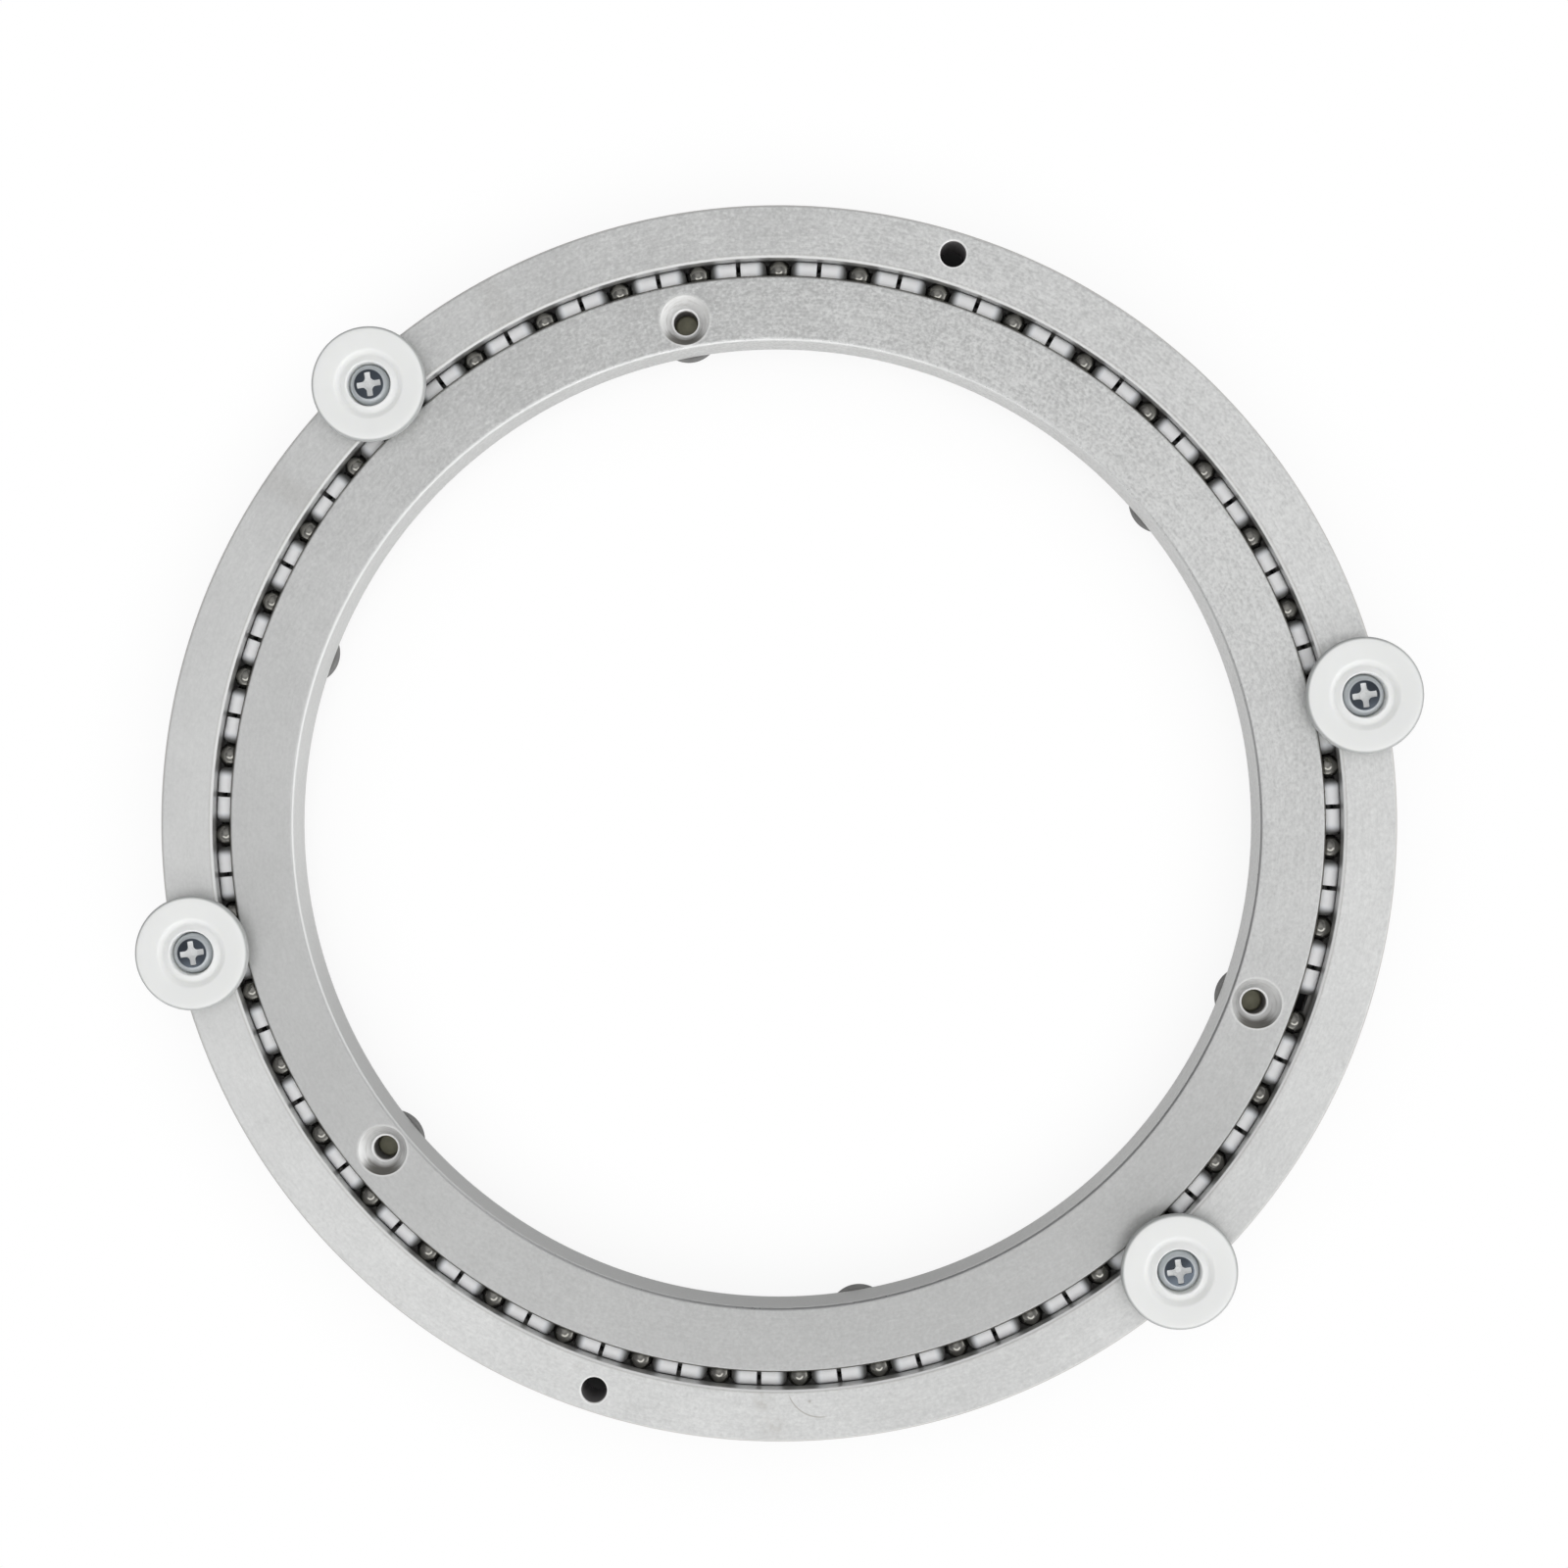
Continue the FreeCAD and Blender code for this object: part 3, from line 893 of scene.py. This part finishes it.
class BEARING_OT_spacers(bpy.types.Operator):
    """Lay a two-barrelled spacer between each two balls"""

    bl_idname = "bearing.spacers"
    bl_label = "Spacers"

    def execute(self, context):
        sizes = context.scene.bearing_spacers
        half, slot = sizes.length / 2, sizes.slot / 2
        inward = sizes.radius - sizes.end_radius
        sweep = (inward**2 + sizes.rounding**2) / (2 * inward)
        reach = degrees(asin(sizes.rounding / sweep))
        corners = [(0, slot, 0), (sizes.neck, slot, 0), (sizes.radius, slot, sizes.edge), (sizes.radius, half, 0)]
        end = arc((sizes.radius - sweep, half - sizes.rounding), sweep, 0, reach, 8)
        top = [*rounded(corners)[1:-1], *end, Vector((0, half))]
        outline = [Vector((p.x, -p.y)) for p in reversed(top)] + top
        barrel = turned(outline, sizes.faces, closed=False)
        lying = Matrix.Rotation(pi / 2, 4, "X")
        places = [place_of(name, RACE_HEIGHT) @ lying for name in SPACERS]
        piece = shown("spacer_row", spread(barrel, places))
        smooth(piece)
        circle = context.scene.bearing_balls.circle
        material = moulded("spacer_plastic", sizes, circle, [bearing_of(name) for name in SPACERS])
        dressed(piece, material, "ball_train", "spacer", *SPACERS)
        return {"FINISHED"}


class BEARING_OT_cups(bpy.types.Operator):
    """Set a soft dished cup on each of four screw holes"""

    bl_idname = "bearing.cups"
    bl_label = "Cups"

    def execute(self, context):
        sizes = context.scene.bearing_cups
        under, collar = sizes.height - sizes.rim, sizes.well + sizes.lean
        flat = sizes.radius - sizes.rim / 2 - sizes.rim_flat
        outline = rounded(
            [
                (sizes.bore, -sizes.plug_length, 0),
                (sizes.plug, -sizes.plug_length, 0.0003),
                (sizes.plug, 0, 0),
                (sizes.hub, 0, 0.0002),
                (sizes.hub, sizes.hub_side, 0.0008),
                (sizes.radius, under, sizes.rim * 0.49),
                (sizes.radius, sizes.height, sizes.rim * 0.49),
                (flat, sizes.height, 0.0200),
                (sizes.groove + sizes.groove_width, sizes.dish, 0.0012),
                (sizes.groove, sizes.groove_height, 0.0006),
                (collar, sizes.collar, 0.0003),
                (sizes.well, sizes.floor, 0.0003),
                (sizes.bore, sizes.floor, 0),
            ],
            8,
        )
        material = milky("cup_plastic", sizes, middle_of(CUPS[0]))
        for n, name in enumerate(CUPS, 1):
            piece = shown(f"cup_pad_{n}", spread(turned(outline, sizes.faces), [place_of(name, RING_TOP)]))
            smooth(piece, 50.0)
            dressed(piece, material, "turning_ring", "cup", name)
        return {"FINISHED"}


class BEARING_OT_screws(bpy.types.Operator):
    """Put a pan-head screw with a cross recess in each cup"""

    bl_idname = "bearing.screws"
    bl_label = "Screws"

    def cross(self, sizes):
        """The space of the cross recess, with its top at the crown."""
        low, high = sizes.height - sizes.cross_depth, sizes.height + 0.0005
        lean = (sizes.span - sizes.wing) / 2 / sizes.cross_depth
        foot = sizes.wing / 2
        cone = [(0, low), (foot, low), (foot + lean * (high - low), high), (0, high)]
        cross = shown("cross", turned(cone, sizes.faces, closed=False))
        near, far, middle = foot, sizes.span, foot + sizes.corner
        bend = reversed(arc((middle, middle), sizes.corner, 180, 270, 10))
        corner = [(far, near), *bend, (near, far), (far, far)]
        places = [Matrix.Rotation(turn, 4, "Z") for turn in around(4)]
        cut(cross, shown("corners", spread(prism(corner, low - CLEAR, high + CLEAR), places)))
        return cross

    def execute(self, context):
        sizes = context.scene.bearing_screws
        shoulder = sizes.height - sizes.rise
        round_over = [
            (sizes.crown + (sizes.head - sizes.crown) * cos(t), sizes.side + (shoulder - sizes.side) * sin(t))
            for t in (radians(90 * k / 10) for k in range(11))
        ]
        crown = [(sizes.crown * (1 - k / 6), sizes.height - sizes.rise * (1 - k / 6) ** 2) for k in range(1, 7)]
        outline = [
            (0, -sizes.shank_length),
            (sizes.shank * 0.35, -sizes.shank_length),
            (sizes.shank, sizes.shank * 0.9 - sizes.shank_length),
            (sizes.shank, 0),
            *rounded([(sizes.shank, 0, 0), (sizes.head, 0, 0.0002), (sizes.head, sizes.side, 0)], 3)[1:-1],
            *round_over,
            *crown,
        ]
        material = plated_steel("screw_steel", sizes, middle_of(SCREWS[0]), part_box(SCREWS[0])[1][2])
        for n, name in enumerate(SCREWS, 1):
            piece = shown(f"cup_screw_{n}", turned(outline, sizes.faces, closed=False))
            cut(piece, self.cross(sizes))
            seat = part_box(name)[1][2] - sizes.height
            spin = Matrix.Rotation(sizes.turn - bearing_of(name), 4, "Z")
            piece.data.transform(place_of(name, seat) @ spin)
            smooth(piece)
            dressed(piece, material, "turning_ring", "screw", name)
        return {"FINISHED"}


class BEARING_OT_feet(bpy.types.Operator):
    """Push a rubber foot into each hole under the inner ring"""

    bl_idname = "bearing.feet"
    bl_label = "Feet"

    def execute(self, context):
        sizes = context.scene.bearing_feet
        outline = rounded(
            [
                (0, 0, 0),
                (sizes.radius, 0, sizes.edge),
                (sizes.radius - sizes.taper, RING_LOW, 0.00015),
                (sizes.stem, RING_LOW, 0),
                (sizes.stem, RING_LOW + sizes.stem_length - sizes.tip, 0.0001),
                (sizes.stem - sizes.tip, RING_LOW + sizes.stem_length, 0.0001),
                (0, RING_LOW + sizes.stem_length, 0),
            ],
            5,
        )
        material = rubber("foot_rubber", sizes.rubber, sizes.tip_colour)
        for n, name in enumerate(FEET, 1):
            foot = turned(outline, sizes.faces, closed=False)
            piece = shown(f"rubber_foot_{n}", spread(foot, [place_of(name, 0.0)]))
            smooth(piece)
            dressed(piece, material, "base", "foot", name)
        return {"FINISHED"}


class BEARING_OT_stage(bpy.types.Operator):
    """Lay the floor, hang the lamps and set up the camera"""

    bl_idname = "bearing.stage"
    bl_label = "Stage"

    def floor(self, sizes):
        """A pale floor that keeps the bearing's shadow, and runs out into white."""
        half = sizes.floor_size / 2
        grid = bmesh.new()
        grid.faces.new([grid.verts.new((x * half, y * half, 0)) for x, y in ((-1, -1), (1, -1), (1, 1), (-1, 1))])
        piece = shown("floor", grid)
        finish = finish_named("floor_paper")
        x, y, _ = finish.parts(finish.place())
        away = (x * x + y * y) ** 0.5
        seen = finish.math("MAXIMUM", self.ray(finish, "Is Camera Ray"), self.ray(finish, "Is Glossy Ray"))
        seen = finish.math("MAXIMUM", seen, self.ray(finish, "Is Transmission Ray"))
        white = finish.node("ShaderNodeEmission", {}, {"Color": (1, 1, 1, 1), "Strength": 1.0})
        bounce = finish.blend(seen, grey(0.12), sizes.floor)

        # The rings' shade: dark below the race and the free holes, and paler elsewhere
        rings = bpy.context.scene.bearing_rings
        inner, outer, train = 0.1183, 0.150, 0.1345
        under = finish.ease(away, inner, inner + 0.0012) * finish.ease(away, outer, outer - 0.001)
        race = finish.ease(abs(away - train), 0.0055, 0.0045)
        holes = finish.ease(distance(abs(x), y, (rings.screw_circle, 0.0)), 0.008, 0.006)
        shade = finish.blend(finish.math("MAXIMUM", race, holes), grey(0.4), grey(0.04))
        paper = finish.node("ShaderNodeBsdfDiffuse", {}, {"Color": finish.blend(under, bounce, shade)})
        open_floor = finish.ease(away, outer, 0.18) + finish.ease(away, 0.1165, 0.09)
        factor = seen * (1 - under) * (0.88 + open_floor * 0.12)
        both = finish.node("ShaderNodeMixShader", {}, {0: factor, 1: paper, 2: white})
        finish.node("ShaderNodeOutputMaterial", {}, {"Surface": both})
        piece.data.materials.append(finish.owner)

    def ray(self, finish, kind):
        """Whether light meets a surface on a path of one kind."""
        return finish.node("ShaderNodeLightPath", {}, {}, kind)

    def sky(self, scene, sizes):
        """A plain studio room: soft light from overhead, and for metal a dim ceiling with a bright strip."""
        world = bpy.data.worlds.new("studio")
        scene.world = world
        finish = Finish(world)
        x, y, up = finish.parts(finish.node("ShaderNodeTexCoord", {}, {}, "Generated"))

        def toward(bearing, low, high):
            """Rises across the room towards an angle seen in the picture, in degrees."""
            turn = sizes.turn + radians(bearing)
            return finish.ease(x * cos(turn) + y * sin(turn), low, high)

        front = toward(-50, -0.9, 0.9)
        walls = finish.blend(front, grey(0.12), grey(1.7))
        mirrored = finish.blend(finish.ease(up, 0.15, 0.75), walls, (0.29, 0.29, 0.30))
        strip = finish.ease(up, 0.79, 0.82) * finish.ease(up, 0.94, 0.91) * toward(-80, 0.05, 0.3)
        mirrored = finish.blend(strip, mirrored, grey(2.2))
        glow = finish.blend(front, grey(0.03), grey(1.9))
        cast = finish.blend(finish.ease(up, 0.1, 0.8), glow, grey(0.66))
        light = finish.blend(self.ray(finish, "Is Glossy Ray"), cast, mirrored)
        light = finish.blend(self.ray(finish, "Is Camera Ray"), light, grey(1.0))
        background = finish.node("ShaderNodeBackground", {}, {"Color": light})
        finish.node("ShaderNodeOutputWorld", {}, {"Surface": background})

    def lamp(self, sizes, name, bearing, height, distance, side, power):
        """A square soft lamp, at an angle seen in the picture and a height above the floor in degrees."""
        light = bpy.data.lights.new(name, "AREA")
        light.shape = "SQUARE"
        light.size = side
        light.energy = power
        lamp = bpy.data.objects.new(name, light)
        bpy.context.scene.collection.objects.link(lamp)
        turn = radians(bearing) + sizes.turn
        rise = radians(height)
        away = Vector((cos(turn) * cos(rise), sin(turn) * cos(rise), sin(rise)))
        lamp.location = away * distance
        lamp.rotation_euler = away.to_track_quat("Z", "Y").to_euler()

    def camera(self, scene, sizes):
        """The camera looks down on the rings, a little off the axis and from the vertical."""
        data = bpy.data.cameras.new("camera")
        data.lens = data.sensor_width * sizes.eye_height / sizes.view
        data.clip_start = 0.01
        camera = bpy.data.objects.new("camera", data)
        scene.collection.objects.link(camera)
        eye = Vector((sizes.eye_right, sizes.eye_up, RING_TOP + sizes.eye_height))
        camera.location = Matrix.Rotation(sizes.turn, 3, "Z") @ eye
        camera.rotation_euler = (-sizes.lean_down, sizes.lean_left, sizes.turn)
        scene.camera = camera

    def execute(self, context):
        sizes = context.scene.bearing_stage
        self.floor(sizes)
        self.sky(context.scene, sizes)
        self.lamp(sizes, "front_right", bearing=-12, height=74, distance=1.8, side=2.4, power=2.9)
        self.lamp(sizes, "front_left", bearing=-110, height=72, distance=1.8, side=2.4, power=2.8)
        self.lamp(sizes, "back", bearing=110, height=66, distance=1.8, side=1.6, power=1.8)
        self.camera(context.scene, sizes)
        context.scene.view_settings.view_transform = "Standard"
        return {"FINISHED"}


class BEARING_PT_panel(bpy.types.Panel):
    """The bearing's pieces and their sizes"""

    bl_label = "Lazy susan bearing"
    bl_idname = "BEARING_PT_panel"
    bl_space_type = "VIEW_3D"
    bl_region_type = "UI"
    bl_category = "Bearing"

    def draw(self, context):
        for name, _ in GROUPS:
            box = self.layout.box()
            box.label(text=name.replace("bearing_", "").capitalize())
            group = getattr(context.scene, name)
            for key in group.bl_rna.properties.keys():
                if key not in ("rna_type", "name"):
                    box.prop(group, key)
        for operator in OPERATORS:
            self.layout.operator(operator.bl_idname)


GROUPS = (
    ("bearing_rings", RingSizes),
    ("bearing_balls", BallSizes),
    ("bearing_spacers", SpacerSizes),
    ("bearing_cups", CupSizes),
    ("bearing_screws", ScrewSizes),
    ("bearing_feet", FootSizes),
    ("bearing_stage", StageSizes),
)
OPERATORS = (
    BEARING_OT_outer_ring,
    BEARING_OT_inner_ring,
    BEARING_OT_balls,
    BEARING_OT_spacers,
    BEARING_OT_cups,
    BEARING_OT_screws,
    BEARING_OT_feet,
    BEARING_OT_stage,
)


def register():
    """Adds the settings, operators and panel."""
    for name, group in GROUPS:
        bpy.utils.register_class(group)
        setattr(bpy.types.Scene, name, PointerProperty(type=group))
    for operator in OPERATORS:
        bpy.utils.register_class(operator)
    bpy.utils.register_class(BEARING_PT_panel)


def unregister():
    """Takes them out again."""
    bpy.utils.unregister_class(BEARING_PT_panel)
    for operator in reversed(OPERATORS):
        bpy.utils.unregister_class(operator)
    for name, group in reversed(GROUPS):
        delattr(bpy.types.Scene, name)
        bpy.utils.unregister_class(group)


def main():
    """Builds every piece and the stage."""
    register()
    bpy.ops.bearing.outer_ring()
    bpy.ops.bearing.inner_ring()
    bpy.ops.bearing.balls()
    bpy.ops.bearing.spacers()
    bpy.ops.bearing.cups()
    bpy.ops.bearing.screws()
    bpy.ops.bearing.feet()
    bpy.ops.bearing.stage()


if __name__ == "__main__":
    main()
